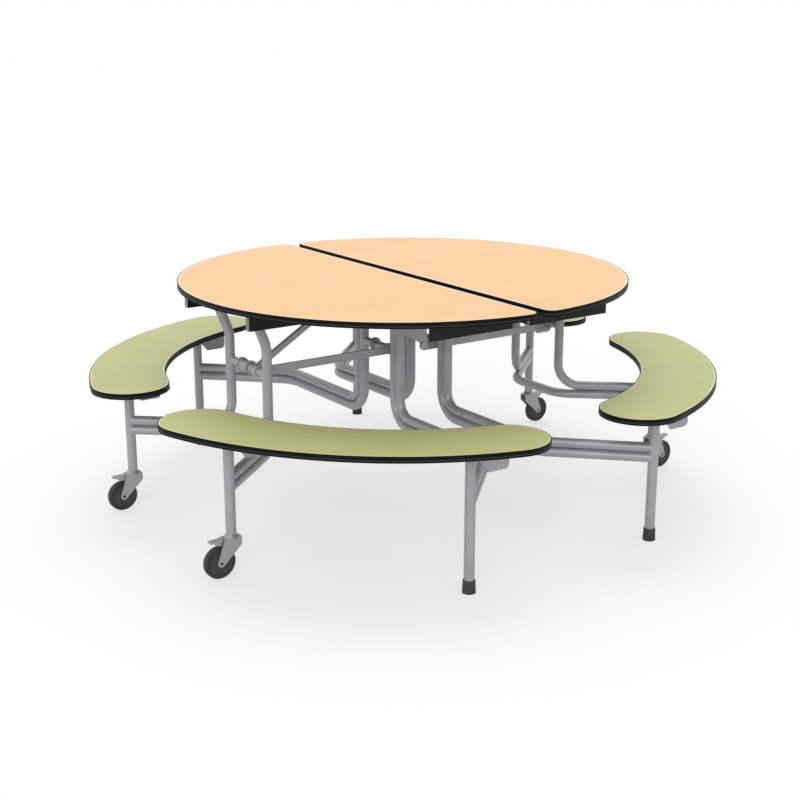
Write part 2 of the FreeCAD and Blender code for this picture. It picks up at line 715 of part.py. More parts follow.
def lift_arm(side_name):
    """Arm from the outer pivot tube up to the underside of its table half."""
    side = SIDES[side_name]
    name = f"{side_name}_lift_arm"
    length, angle = size("lift_arm_length"), size("lift_angle")
    half, roller, hub = size("lift_arm_height") / 2, size("lift_roller"), size("hub_radius")
    outline = polygon([(0, -half), (length, -half), (length, half), (0, half)])
    bar = padded(name + "_bar", [outline], "lift_arm_thick", "XZ_Plane")
    turn = FreeCAD.Rotation(ALONG_Y, 180.0 if side > 0 else 0.0)
    lean = FreeCAD.Rotation(ALONG_Y, side * angle)
    bar.Placement = FreeCAD.Placement(V(0, 0, 0), lean.multiply(turn))
    bind(bar, "Placement.Base.x", f"{side} * table_leg_x")
    bind(bar, "Placement.Base.y", "lift_arm_y + lift_arm_thick / 2")
    bind(bar, "Placement.Base.z", "link_pivot_height")
    low_y = "lift_arm_y - lift_arm_thick / 2"
    ring = cylinder(name + "_hub", "hub_radius", "lift_arm_thick",
                    (f"{side} * table_leg_x", low_y, "link_pivot_height"), ALONG_Y)
    nose = cylinder(name + "_nose", "lift_roller", "lift_arm_thick",
                    (f"{side} * (table_leg_x - lift_arm_length * cos(lift_angle))", low_y,
                     "link_pivot_height + lift_arm_length * sin(lift_angle)"), ALONG_Y)
    bore = cylinder(name + "_bore", "pivot_tube_radius + bolt_play", "2 * lift_arm_thick",
                    (f"{side} * table_leg_x", "lift_arm_y - lift_arm_thick", "link_pivot_height"), ALONG_Y)
    finish(cut(name, fuse(name + "_solid", [bar, ring, nose]), [bore]), name)


# ---------------------------------------------------------------- benches


def bench_outline(inset):
    """Curved plank about the bench circle's centre, with fully rounded ends."""
    middle, half = size("bench_radius"), size("seat_width") / 2 - inset
    angle = size("seat_end_angle")
    edges = []
    for radius, turn in ((middle + half, 1), (middle - half, -1)):
        start, end = at_angle(radius, -turn * angle), at_angle(radius, turn * angle)
        edges.append(Part.Arc(start, at_angle(radius, 0), end))
    for turn in (1, -1):
        centre = at_angle(middle, turn * angle)
        tip = centre + at_angle(half, turn * (angle + 90.0))
        start, end = at_angle(middle + half, turn * angle), at_angle(middle - half, turn * angle)
        edges.append(Part.Arc(start, tip, end))
    return [edges[0], edges[2], edges[1], edges[3]]


def bracket_outline():
    """Side of a bench bracket: round nose at the pivot, sloping down to a deep rounded heel."""
    reach, drop = size("bench_bracket_reach"), size("bench_bracket_drop")
    lift, nose = size("bench_pivot_drop"), size("bench_bracket_nose")
    corner = 0.3 * nose
    chin = V(nose, -lift - 0.6 * nose, 0)
    slope_end = V(0.4 * reach, -drop, 0)
    heel = V(reach - nose, -drop, 0)
    back = V(reach, -drop + nose, 0)
    return [
        Part.LineSegment(V(-nose, 0, 0), V(reach, 0, 0)),
        Part.LineSegment(V(reach, 0, 0), back),
        Part.Arc(back, V(reach - corner, -drop + corner, 0), heel),
        Part.LineSegment(heel, slope_end),
        Part.LineSegment(slope_end, chin),
        Part.Arc(chin, V(0, -lift - nose, 0), V(-nose, -lift, 0)),
        Part.LineSegment(V(-nose, -lift, 0), V(-nose, 0, 0)),
    ]


def bench_bracket(name, x, y, end):
    """Sheet bracket outside a leg: long side plate, short inner cheek and a flange between."""
    plate = padded(name + "_side", [bracket_outline()], "plate", "XZ_Plane")
    outer_face = "cheek_gap + plate" if end > 0 else "-cheek_gap"
    bind(plate, "Placement.Base.x", x)
    bind(plate, "Placement.Base.y", f"{y} + {outer_face}")
    bind(plate, "Placement.Base.z", "seat_underside")
    flange_length = "bench_bracket_reach + bench_bracket_nose"
    flange = box(name + "_flange", (flange_length, "2 * cheek_gap + 2 * plate", "plate"),
                 (f"{x} - bench_bracket_nose", f"{y} - cheek_gap - plate", "seat_underside - plate"))
    inner_low = f"{y} - cheek_gap - plate" if end > 0 else f"{y} + cheek_gap"
    cheek = box(name + "_cheek", ("2 * bench_bracket_nose", "plate", "bench_pivot_drop"),
                (f"{x} - bench_bracket_nose", inner_low, "bench_pivot_height"))
    cheek_nose = cylinder(name + "_cheek_nose", "bench_bracket_nose", "plate",
                          (x, inner_low, "bench_pivot_height"), ALONG_Y)
    bore = bolt_bore(name + "_bore", x, y, "bench_pivot_height", "cheek_gap + 2 * plate", "bolt_radius")
    bolt = pivot_bolt(name + "_bolt", x, y, "bench_pivot_height", "cheek_gap + plate")
    return [cut(name, fuse(name + "_solid", [plate, flange, cheek, cheek_nose]), [bore]), bolt]


def bench(side_name, end_name):
    side, end = SIDES[side_name], ENDS[end_name]
    heading = math.degrees(math.atan2(end, side))
    prefix = f"{side_name}_{end_name}"
    board = padded(f"{prefix}_seat_board", [bench_outline(size("edge_thick"))], "seat_thick")
    rim = padded(f"{prefix}_seat_edge", [bench_outline(0.0), bench_outline(size("edge_thick"))], "seat_thick")
    for piece in (board, rim):
        piece.Placement = FreeCAD.Placement(V(0, 0, 0), FreeCAD.Rotation(UP, heading))
        bind(piece, "Placement.Base.x", f"{side} * bench_shift")
        bind(piece, "Placement.Base.z", "seat_underside")
        finish(piece, piece.Name)
    pieces = bench_bracket(f"{prefix}_caster_bracket", f"{side} * caster_x", f"{end} * caster_y", end)
    pieces += bench_bracket(f"{prefix}_glide_bracket", f"{side} * glide_x", f"{end} * glide_y", end)
    group(f"{prefix}_bench_brackets", pieces)


# ---------------------------------------------------------------- casters


def touch(centre, radius, outside, turn):
    """Where a line from an outside point touches a circle, on the side given by turn."""
    away = outside - centre
    angle = math.atan2(away.y, away.x) + turn * math.acos(radius / away.Length)
    return centre + V(math.cos(angle), math.sin(angle), 0) * radius


def fork_outline(side):
    """Side of a caster fork: flat head under the leg, raked back to a round axle boss."""
    top, boss = size("fork_top"), 3 * size("axle_radius")
    axle = V(side * size("caster_trail"), size("wheel_radius"), 0)
    front_top = V(-side * size("fork_front"), top, 0)
    back_top = V(side * size("fork_back"), top, 0)
    chin = V(-side * size("fork_front"), top - size("fork_skirt"), 0)
    back_low = touch(axle, boss, back_top, -side)
    front_low = touch(axle, boss, chin, side)
    return [
        Part.LineSegment(front_top, back_top),
        Part.LineSegment(back_top, back_low),
        Part.Arc(back_low, axle - V(0, boss, 0), front_low),
        Part.LineSegment(front_low, chin),
        Part.LineSegment(chin, front_top),
    ]


def caster_fork(name, side, x, y):
    """Stamped fork with its swivel head, stem and axle; the wheel trails outwards."""
    block = padded(name + "_block", [fork_outline(side)], "2 * fork_half_width", "XZ_Plane")
    bind(block, "Placement.Base.x", x)
    bind(block, "Placement.Base.y", f"{y} + fork_half_width")
    axle_x = f"{x} + {side} * caster_trail"
    slot = box(name + "_slot", ("4 * wheel_radius", "2 * fork_half_width - 2 * plate", "fork_top - plate"),
               (f"{x} - 2 * wheel_radius", f"{y} - fork_half_width + plate", "0"))
    bore = bolt_bore(name + "_axle_bore", axle_x, y, "wheel_radius", "2 * fork_half_width", "axle_radius")
    pin_bore = bolt_bore(name + "_pedal_bore", f"{x} + {side} * pedal_pin_x", y, "fork_top - pedal_pin_drop",
                         "2 * fork_half_width", "pedal_thick / 2 + bolt_play")
    yoke = cut(name + "_yoke", block, [slot, bore, pin_bore])
    head_height = "caster_leg_foot - fork_top - weld_gap"
    stem = cylinder(name + "_stem", "stem_radius", f"stem_length + {head_height}", (x, y, "fork_top"))
    cap = cone(name + "_cap", "swivel_radius", "tube_radius", head_height, (x, y, "fork_top"))
    shank = cylinder(name + "_axle_shank", "axle_radius", "2 * fork_half_width",
                     (axle_x, f"{y} - fork_half_width", "wheel_radius"), ALONG_Y)
    hole = bolt_bore(name + "_axle_hole", axle_x, y, "wheel_radius", "2 * fork_half_width", "axle_bore")
    group(name, [fuse(name + "_body", [yoke, cap, stem]), cut(name + "_axle", shank, [hole])])


def caster_wheel(name, side, x, y):
    """Disc with a hub as wide as the wheel, a dished web and a rounded tread."""
    radius, half = size("wheel_radius"), size("wheel_width") / 2
    bore = size("axle_radius") + size("bolt_play")
    hub = 3.2 * size("axle_radius")
    rim = radius - size("wheel_rim")
    web, tread, crown = 0.8 * half, 0.9 * half, 0.3 * half
    bevel = half - web
    side_points = [
        (bore, half), (hub, half), (hub + bevel, web), (rim - bevel, web), (rim, tread),
        (radius - crown, tread), (radius, tread - crown),
    ]
    outline = polygon([(r, -w) for r, w in side_points] + side_points[::-1])
    wheel = revolved(name, outline)
    bind(wheel, "Placement.Base.x", f"{x} + {side} * caster_trail")
    bind(wheel, "Placement.Base.y", y)
    bind(wheel, "Placement.Base.z", "wheel_radius")
    finish(wheel, name)


def brake_pedal(name, side, x, y):
    """Rocking pedal on a pin across the fork: tongue level with the fork's top, shoe over the wheel."""
    pin, reach, thick = size("pedal_pin_x"), size("pedal_reach"), size("pedal_thick")
    top, mouth = size("fork_top"), size("fork_back") + size("pedal_thick") / 3
    shoe = 2 * size("wheel_radius") + size("pedal_shoe")
    profile = [
        (pin - thick, shoe), (pin - thick, shoe + thick), (pin + thick, top - thick), (mouth, top - thick),
        (mouth + thick / 2, top), (reach, top - thick / 2), (reach, top - 1.5 * thick),
        (reach - 3 * thick, top - 2 * thick), (reach - 4 * thick, shoe + thick / 2),
        (size("caster_trail"), shoe),
    ]
    outline = polygon([(side * along, up) for along, up in profile])
    tongue = padded(name + "_tongue", [outline], "wheel_width - 2 * plate", "XZ_Plane")
    bind(tongue, "Placement.Base.x", x)
    bind(tongue, "Placement.Base.y", f"{y} + wheel_width / 2 - plate")
    pin_at = (f"{x} + {side} * pedal_pin_x", f"{y} - fork_half_width", "fork_top - pedal_pin_drop")
    pin_piece = cylinder(name + "_pin", "pedal_thick / 2", "2 * fork_half_width", pin_at, ALONG_Y)
    finish(fuse(name, [tongue, pin_piece]), name)


def caster(side_name, end_name):
    side, end = SIDES[side_name], ENDS[end_name]
    prefix = f"{side_name}_{end_name}_caster"
    x, y = f"{side} * caster_x", f"{end} * caster_y"
    caster_fork(prefix + "_fork", side, x, y)
    caster_wheel(prefix + "_wheel", side, x, y)
    brake_pedal(prefix + "_brake_pedal", side, x, y)


# ---------------------------------------------------------------- assembly


def build():
    for side_name in SIDES:
        table_half(side_name)
        group(f"{side_name}_long_aprons", [long_apron(side_name, end_name) for end_name in ENDS])
        group(f"{side_name}_seam_aprons", [seam_apron(side_name, end_name) for end_name in ENDS])
        top_brackets(side_name)
        caster_legs(side_name)
        lower_tube(side_name)
        frame_pivot_tube(side_name)
        link_bar(side_name)
        lift_arm(side_name)
        for end_name in ENDS:
            centre_arm(side_name, end_name)
            table_leg(side_name, end_name)
            bench(side_name, end_name)
            caster(side_name, end_name)
    seam_catch("right", "front")
    seam_catch("left", "rear")
    latch_plate()
    glide_legs()
    centre_pivot_tubes()
    group("centre_beams", [centre_beam(end_name) for end_name in ENDS])


def check_and_export():
    """Stop on any failed object or bad shape, then write one STEP file per sub-part."""
    for thing in doc.Objects:
        if "Invalid" in thing.State or "Error" in thing.State:
            raise RuntimeError(f"{thing.Name} failed: {thing.State}")
    os.makedirs("parts", exist_ok=True)
    for node in NODES:
        if node.Shape.isNull() or not node.Shape.isValid() or not node.Shape.Solids:
            raise RuntimeError(f"{node.Label} has a bad shape")
    for node in NODES:
        node.Shape.exportStep(f"parts/{node.Label}.step")
    print(len(NODES), "sub-parts written")


build()
doc.recompute()
check_and_export()
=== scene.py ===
import json
import math

import bmesh
import bpy
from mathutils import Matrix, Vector


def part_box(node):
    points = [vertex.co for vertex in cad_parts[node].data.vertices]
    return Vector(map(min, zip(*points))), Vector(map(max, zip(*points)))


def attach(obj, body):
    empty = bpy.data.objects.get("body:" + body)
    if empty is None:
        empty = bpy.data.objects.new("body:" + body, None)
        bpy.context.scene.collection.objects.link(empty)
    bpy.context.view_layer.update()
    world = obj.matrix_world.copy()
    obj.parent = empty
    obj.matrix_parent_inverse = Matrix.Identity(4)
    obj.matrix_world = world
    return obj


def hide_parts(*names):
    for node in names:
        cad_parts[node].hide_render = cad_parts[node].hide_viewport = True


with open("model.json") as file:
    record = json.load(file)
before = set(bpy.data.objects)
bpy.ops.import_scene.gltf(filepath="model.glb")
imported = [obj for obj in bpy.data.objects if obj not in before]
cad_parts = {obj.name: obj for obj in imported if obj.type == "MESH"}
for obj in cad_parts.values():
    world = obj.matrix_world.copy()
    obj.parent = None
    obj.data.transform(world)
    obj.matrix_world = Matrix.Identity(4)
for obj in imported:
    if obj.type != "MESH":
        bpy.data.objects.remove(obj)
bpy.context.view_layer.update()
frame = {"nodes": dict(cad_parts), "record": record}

# The camera stands where the photograph was taken from, in metres and radians.
CAMERA_PLACE = (-2.5971, -3.7380, 1.6276)
CAMERA_DOWN = 0.2802
CAMERA_TURN = 0.6049
CAMERA_LENS = 61.5
SENSOR_WIDTH = 36.0

FLOOR_HALF = 30.0
WORLD_LIGHT = 0.66

# The floor as it is seen: the share that darkens in shadow, and the share that stays white.
FLOOR_SHADING = (0.40, 0.402, 0.408, 1.0)
FLOOR_GLOW = 0.61

# The pale line round each board, painted as a highlight: its width, and how far it drops to the
# moulding.
RIM_WIDTH = 0.005
RIM_DROP = 0.0006
FLAT = 0.99
UPRIGHT = 0.5
SAME_POINT = 1e-6

# The groove round the edge moulding: its height over the board's underside, and its size.
GROOVE_HEIGHT = 0.0065
GROOVE_HALF = 0.0014
GROOVE_DEPTH = 0.0009

# The raised rings on the cross tubes' collars: where they stand along Y, and the corners of
# their section as (offset along the tube, radius).
COLLAR_RADIUS = 0.0185
OUTER_RINGS = {"front": -0.0150, "rear": 0.0410}
CENTRE_RING = 0.0260
RING_SECTION = (
    (-0.0040, 0.0178),
    (-0.0040, 0.0214),
    (-0.0030, 0.0224),
    (0.0030, 0.0224),
    (0.0040, 0.0214),
    (0.0040, 0.0178),
)
RING_STEPS = 64
SHARP_ANGLE = math.radians(30.0)

# The middle of each caster leg, from the middle of the table, and half its inner radius.
CASTER_LEG_X = 0.86178
CASTER_LEG_Y = 0.35041
INNER_WALL_FROM = 0.007

# On a caster: the wheel's disc, the painted shadow line and soft step round it, and the axle's painted
# shade.
WHEEL_DISC = 0.038
DISC_SHADOW_LINE = 0.0012
DISC_STEP = 0.001
AXLE_SHOWN = 0.0044

# Only the faces of the long aprons that look outwards, beyond this reach, are grey.
APRON_END_FACING = 0.9
APRON_END_FROM = 0.65

# How noise is stretched: the laminate's grain and the backer sheet's fibres run along X.
ALONG_GRAIN = (0.06, 1.0, 1.0)
PAPER_FIBRES = (0.2, 1.0, 1.0)

SIDES = {"left": -1, "right": 1}
ENDS = ("front", "rear")


def shade(red, green, blue):
    """A screen colour, from 0 to 255, as Blender's linear colour, by the standard sRGB curve."""
    linear = []
    for part in (red, green, blue):
        part = part / 255.0
        linear.append(part / 12.92 if part <= 0.04045 else ((part + 0.055) / 1.055) ** 2.4)
    return (*linear, 1.0)


# ---------------------------------------------------------------- shader nodes

def add(tree, kind, inputs=None, **settings):
    """A new shader node. Each input is a plain value or another node's output."""
    made = tree.nodes.new(kind)
    for name, value in settings.items():
        setattr(made, name, value)
    for name, value in (inputs or {}).items():
        if isinstance(value, bpy.types.NodeSocket):
            tree.links.new(value, made.inputs[name])
        else:
            made.inputs[name].default_value = value
    return made


def place_on_piece(tree):
    """The point on the piece, in metres in the piece's own frame."""
    return add(tree, "ShaderNodeTexCoord").outputs["Object"]


def noise(tree, place, scale, stretch=(1.0, 1.0, 1.0), detail=3.0):
    """Cloudy noise from 0 to 1, about 1/scale metres across, drawn out where stretch is small."""
    stretched = add(tree, "ShaderNodeMapping", {"Vector": place, "Scale": stretch})
    return add(
        tree,
        "ShaderNodeTexNoise",
        {"Vector": stretched.outputs["Vector"], "Scale": scale, "Detail": detail},
    ).outputs["Fac"]


def between(tree, value, low, high, start=0.3, end=0.7):
    """The value's run from start to end, drawn onto low to high."""
    return add(
        tree,
        "ShaderNodeMapRange",
        {"Value": value, "From Min": start, "From Max": end, "To Min": low, "To Max": high},
    ).outputs["Result"]


def arithmetic(tree, operation, first, second=0.0):
    """One sum, such as MULTIPLY, of two values or outputs. ABSOLUTE and SIGN take only the first."""
    return add(tree, "ShaderNodeMath", {0: first, 1: second}, operation=operation).outputs[0]


def mixed(tree, first, second, factor):
    """One colour turning into another as the factor goes from 0 to 1."""
    mix = add(tree, "ShaderNodeMix", {"Factor": factor}, data_type="RGBA")
    for name, value in (("A", first), ("B", second)):
        socket = [s for s in mix.inputs if s.name == name and s.type == "RGBA"][0]
        if isinstance(value, bpy.types.NodeSocket):
            tree.links.new(value, socket)
        else:
            socket.default_value = value
    return [s for s in mix.outputs if s.type == "RGBA"][0]


def bump(tree, height, distance):
    """The surface's normal where a height of 1 stands this distance proud, in metres."""
    return add(tree, "ShaderNodeBump", {"Height": height, "Distance": distance}).outputs["Normal"]


def worn_edges(tree, place, radius):
    """About 1 along the sharp edges, broken up by noise, and 0 on open surfaces."""
    rounded = add(tree, "ShaderNodeBevel", {"Radius": radius}, samples=4)
    true_normal = add(tree, "ShaderNodeNewGeometry").outputs["Normal"]
    facing = add(
        tree,
        "ShaderNodeVectorMath",
        {0: rounded.outputs["Normal"], 1: true_normal},
        operation="DOT_PRODUCT",
    ).outputs["Value"]
    edge = between(tree, facing, 1.0, 0.0, start=0.80, end=0.98)
    patches = between(tree, noise(tree, place, scale=90.0), 0.0, 1.0, start=0.40, end=0.62)
    return arithmetic(tree, "MULTIPLY", edge, patches)


def new_material(name, metallic=0.0, gloss=0.5):
    """An empty material, its node tree and its shader."""
    material = bpy.data.materials.new(name)
    material.use_nodes = True
    tree = material.node_tree
    shader = tree.nodes["Principled BSDF"]
    shader.inputs["Metallic"].default_value = metallic
    shader.inputs["Specular IOR Level"].default_value = gloss
    return material, tree, shader


def finish_shader(tree, shader, colour, roughness, normal):
    """Joins the three worked-out looks to the material's shader."""
    for name, socket in (("Base Color", colour), ("Roughness", roughness), ("Normal", normal)):
        tree.links.new(socket, shader.inputs[name])


def overpaint(material, colour, share):
    """Lays another colour over the material's own, as far as the share goes from 0 to 1."""
    tree = material.node_tree
    base = tree.nodes["Principled BSDF"].inputs["Base Color"]
    own_colour = base.links[0].from_socket
    tree.links.new(mixed(tree, own_colour, colour, share), base)


# ---------------------------------------------------------------- materials

def laminate(name, pale, deep, grain_stretch):
    """Printed wood-grain laminate: faint long streaks, a fine orange peel and dull smudges."""
    material, tree, shader = new_material(name, gloss=0.35)
    place = place_on_piece(tree)
    streaks = noise(tree, place, scale=60.0, stretch=grain_stretch, detail=6.0)
    fine = noise(tree, place, scale=420.0, stretch=grain_stretch, detail=4.0)
    clouds = noise(tree, place, scale=2.2)
    grain = arithmetic(tree, "ADD", between(tree, streaks, 0.0, 0.6), between(tree, fine, 0.0, 0.4))
    softened = arithmetic(tree, "MULTIPLY", grain, between(tree, clouds, 0.45, 1.0))
    colour = mixed(tree, pale, deep, softened)
    roughness = between(tree, noise(tree, place, scale=7.0, detail=5.0), 0.40, 0.52)
    pores = arithmetic(tree, "MULTIPLY", fine, 0.4)
    peel = arithmetic(tree, "ADD", noise(tree, place, scale=900.0), pores)
    finish_shader(tree, shader, colour, roughness, bump(tree, peel, distance=0.00006))
    return material


def rim_laminate(name, pale, deep):
    """The cut edge of the laminate, painted brighter as a highlight, which shows as a pale line beside
    the moulding.
    """
    material, tree, shader = new_material(name, gloss=0.4)
    place = place_on_piece(tree)
    colour = mixed(tree, pale, deep, between(tree, noise(tree, place, scale=55.0, detail=5.0), 0.0, 1.0))
    roughness = between(tree, noise(tree, place, scale=200.0), 0.35, 0.5)
    pores = noise(tree, place, scale=700.0)
    finish_shader(tree, shader, colour, roughness, bump(tree, pores, distance=0.00005))
    return material


def moulding(name, board_underside):
    """Black vinyl edge moulding: a painted highlight pales the groove round it, and its corners are
    scuffed.
    """
    material, tree, shader = new_material(name, gloss=0.1)
    place = place_on_piece(tree)
    height = add(tree, "ShaderNodeSeparateXYZ", {"Vector": place}).outputs["Z"]
    off_groove = arithmetic(
        tree, "ABSOLUTE", arithmetic(tree, "SUBTRACT", height, board_underside + GROOVE_HEIGHT)
    )
    groove = between(tree, off_groove, 1.0, 0.0, start=0.0, end=GROOVE_HALF)
    clouds = mixed(
        tree, shade(7, 7, 8), shade(20, 20, 21), between(tree, noise(tree, place, scale=14.0), 0.0, 1.0)
    )
    # Painted highlight: a pale grey line along the groove stands in for the light that the groove's edge
    # catches.
    groove_highlit = mixed(tree, clouds, shade(96, 96, 97), arithmetic(tree, "MULTIPLY", groove, 0.85))
    wear = arithmetic(tree, "MULTIPLY", worn_edges(tree, place, radius=0.0012), 0.4)
    colour = mixed(tree, groove_highlit, shade(74, 74, 72), wear)
    roughness = between(tree, noise(tree, place, scale=45.0, detail=5.0), 0.42, 0.62)
    pebbles = noise(tree, place, scale=1400.0, detail=2.0)
    finish_shader(tree, shader, colour, roughness, bump(tree, pebbles, distance=0.00008))
    return material


def powder_coat(name, deep, pale, bare, wear_amount, metallic=0.0, gloss=0.5):
    """Baked powder paint: orange peel, soft clouding, and bare metal showing on worn edges."""
    material, tree, shader = new_material(name, metallic=metallic, gloss=gloss)
    place = place_on_piece(tree)
    clouds = mixed(tree, deep, pale, between(tree, noise(tree, place, scale=11.0, detail=5.0), 0.0, 1.0))
    speckle = between(tree, noise(tree, place, scale=850.0, detail=2.0), 0.0, 0.35, start=0.45, end=0.75)
    speckled = mixed(tree, clouds, pale, speckle)
    wear = arithmetic(tree, "MULTIPLY", worn_edges(tree, place, radius=0.0010), wear_amount)
    colour = mixed(tree, speckled, bare, wear)
    dull = between(tree, noise(tree, place, scale=30.0, detail=5.0), 0.30, 0.42)
    roughness = arithmetic(tree, "SUBTRACT", dull, arithmetic(tree, "MULTIPLY", wear, 0.1))
    peel = noise(tree, place, scale=600.0, detail=2.0)
    finish_shader(tree, shader, colour, roughness, bump(tree, peel, distance=0.00004))
    return material


def apron_paint():
    """Black powder paint on the aprons, whose outer end faces are left grey."""
    material = powder_coat(
        "black_apron_paint",
        deep=shade(12, 12, 13),
        pale=shade(24, 24, 25),
        bare=shade(104, 104, 102),
        wear_amount=0.4,
        gloss=0.2,
    )
    tree = material.node_tree
    coordinates = add(tree, "ShaderNodeTexCoord")
    facing = add(tree, "ShaderNodeSeparateXYZ", {"Vector": coordinates.outputs["Normal"]})
    reach = add(tree, "ShaderNodeSeparateXYZ", {"Vector": coordinates.outputs["Object"]})
    faces_end = arithmetic(
        tree, "GREATER_THAN", arithmetic(tree, "ABSOLUTE", facing.outputs["X"]), APRON_END_FACING
    )
    at_end = arithmetic(
        tree, "GREATER_THAN", arithmetic(tree, "ABSOLUTE", reach.outputs["X"]), APRON_END_FROM
    )
    overpaint(material, shade(136, 136, 136), arithmetic(tree, "MULTIPLY", faces_end, at_end))
    return material


def zinc_plate(name):
    """Bright zinc plating: small crystal flecks and a faint yellow cast."""
    material, tree, shader = new_material(name, metallic=0.55)
    place = place_on_piece(tree)
    flecks = add(tree, "ShaderNodeTexVoronoi", {"Vector": place, "Scale": 420.0})
    fleck = between(tree, flecks.outputs["Distance"], 0.0, 1.0, start=0.1, end=0.7)
    plated = mixed(tree, shade(180, 181, 183), shade(158, 159, 163), fleck)
    cast = between(tree, noise(tree, place, scale=40.0), 0.0, 0.3)
    colour = mixed(tree, plated, shade(186, 183, 172), cast)
    roughness = between(tree, noise(tree, place, scale=160.0, detail=5.0), 0.36, 0.54)
    finish_shader(tree, shader, colour, roughness, bump(tree, fleck, distance=0.00004))
    return material


def fork_plating(name, axle):
    """Zinc plating on a caster fork, with painted shade near black on its hollow axle along Y, for the
    dark bore.
    """
    material = zinc_plate(name)
    tree = material.node_tree
    sideways = add(
        tree,
        "ShaderNodeVectorMath",
        {0: place_on_piece(tree), 1: (1.0, 0.0, 1.0)},
        operation="MULTIPLY",
    ).outputs["Vector"]
    reach = add(
        tree,
        "ShaderNodeVectorMath",
        {0: sideways, 1: (axle.x, 0.0, axle.z)},
        operation="DISTANCE",
    ).outputs["Value"]
    # Painted shade: the axle's end and bore, within AXLE_SHOWN of its line, are painted near black to
    # read as the dark hole.
    overpaint(material, shade(24, 24, 25), arithmetic(tree, "LESS_THAN", reach, AXLE_SHOWN))
    return material


def rubber(name, deep, pale, rough):
    """Moulded rubber: dusty clouding, scuffs and a fine grain."""
    material, tree, shader = new_material(name, gloss=0.3)
    place = place_on_piece(tree)
    dust = between(tree, noise(tree, place, scale=36.0, detail=6.0), 0.0, 1.0, start=0.35, end=0.75)
    clouds = mixed(tree, deep, pale, dust)
    scuffs = arithmetic(tree, "MULTIPLY", worn_edges(tree, place, radius=0.0015), 0.4)
    colour = mixed(tree, clouds, shade(112, 110, 106), scuffs)
    roughness = between(tree, noise(tree, place, scale=70.0, detail=4.0), rough - 0.08, rough + 0.1)
    skin = noise(tree, place, scale=950.0)
    finish_shader(tree, shader, colour, roughness, bump(tree, skin, distance=0.00012))
    return material


def backer_sheet():
    """The plain brown-grey paper sheet under each board, with faint fibres."""
    material, tree, shader = new_material("board_backer_sheet", gloss=0.2)
    place = place_on_piece(tree)
    fibres = noise(tree, place, scale=240.0, stretch=PAPER_FIBRES, detail=6.0)
    colour = mixed(tree, shade(128, 125, 121), shade(108, 106, 103), between(tree, fibres, 0.0, 1.0))
    roughness = between(tree, noise(tree, place, scale=20.0, detail=4.0), 0.6, 0.8)
    finish_shader(tree, shader, colour, roughness, bump(tree, fibres, distance=0.00008))
    return material


def frame_paint(name):
    """Silver-grey powder paint on the tubes, sheet brackets and bars."""
    return powder_coat(
        name,
        deep=shade(157, 158, 160),
        pale=shade(172, 173, 175),
        bare=shade(206, 206, 204),
        wear_amount=0.5,
        metallic=0.2,
    )


def caster_leg_paint():
    """Frame paint outside, and painted shade inside: the inner walls, where the pin holes look in, are
    painted near black.
    """
    material = frame_paint("caster_leg_paint")
    tree = material.node_tree
    coordinates = add(tree, "ShaderNodeTexCoord")
    point = add(tree, "ShaderNodeSeparateXYZ", {"Vector": coordinates.outputs["Object"]})
    normal = add(tree, "ShaderNodeSeparateXYZ", {"Vector": coordinates.outputs["Normal"]})
    outward_shares = []
    for axis, leg_middle in (("X", CASTER_LEG_X), ("Y", CASTER_LEG_Y)):
        distance = arithmetic(tree, "ABSOLUTE", point.outputs[axis])
        offset = arithmetic(tree, "SUBTRACT", distance, leg_middle)
        side = arithmetic(tree, "SIGN", point.outputs[axis])
        facing = arithmetic(tree, "MULTIPLY", normal.outputs[axis], side)
        outward_shares.append(arithmetic(tree, "MULTIPLY", offset, facing))
    outwards = arithmetic(tree, "ADD", *outward_shares)
    shaded_inner_wall = arithmetic(tree, "LESS_THAN", outwards, -INNER_WALL_FROM)
    # Painted shade: the tube's inner walls are painted near black, so the pin holes read as dark.
    overpaint(material, shade(14, 14, 14), shaded_inner_wall)
    return material


def wheel_rubber(name, middle):
    """Grey moulded wheel whose tread and outer rim are darker than its disc, with a painted shadow line
    round the disc's edge.
    """
    material = rubber(name, deep=shade(58, 58, 59), pale=shade(78, 78, 78), rough=0.5)
    tree = material.node_tree
    reach = add(
        tree,
        "ShaderNodeVectorMath",
        {0: place_on_piece(tree), 1: tuple(middle)},
        operation="DISTANCE",
    ).outputs["Value"]
    off_disc = arithmetic(tree, "ABSOLUTE", arithmetic(tree, "SUBTRACT", reach, WHEEL_DISC))
    tread = between(
        tree, reach, low=0.0, high=1.0, start=WHEEL_DISC - DISC_STEP, end=WHEEL_DISC + DISC_STEP
    )
    groove = between(tree, off_disc, low=1.0, high=0.0, start=0.0, end=DISC_SHADOW_LINE)
    overpaint(material, shade(50, 50, 51), arithmetic(tree, "MULTIPLY", tread, 0.8))
    # Painted shade: a dark line round the disc's edge stands in for the shadow there.
    overpaint(material, shade(28, 28, 28), arithmetic(tree, "MULTIPLY", groove, 0.7))
    return material


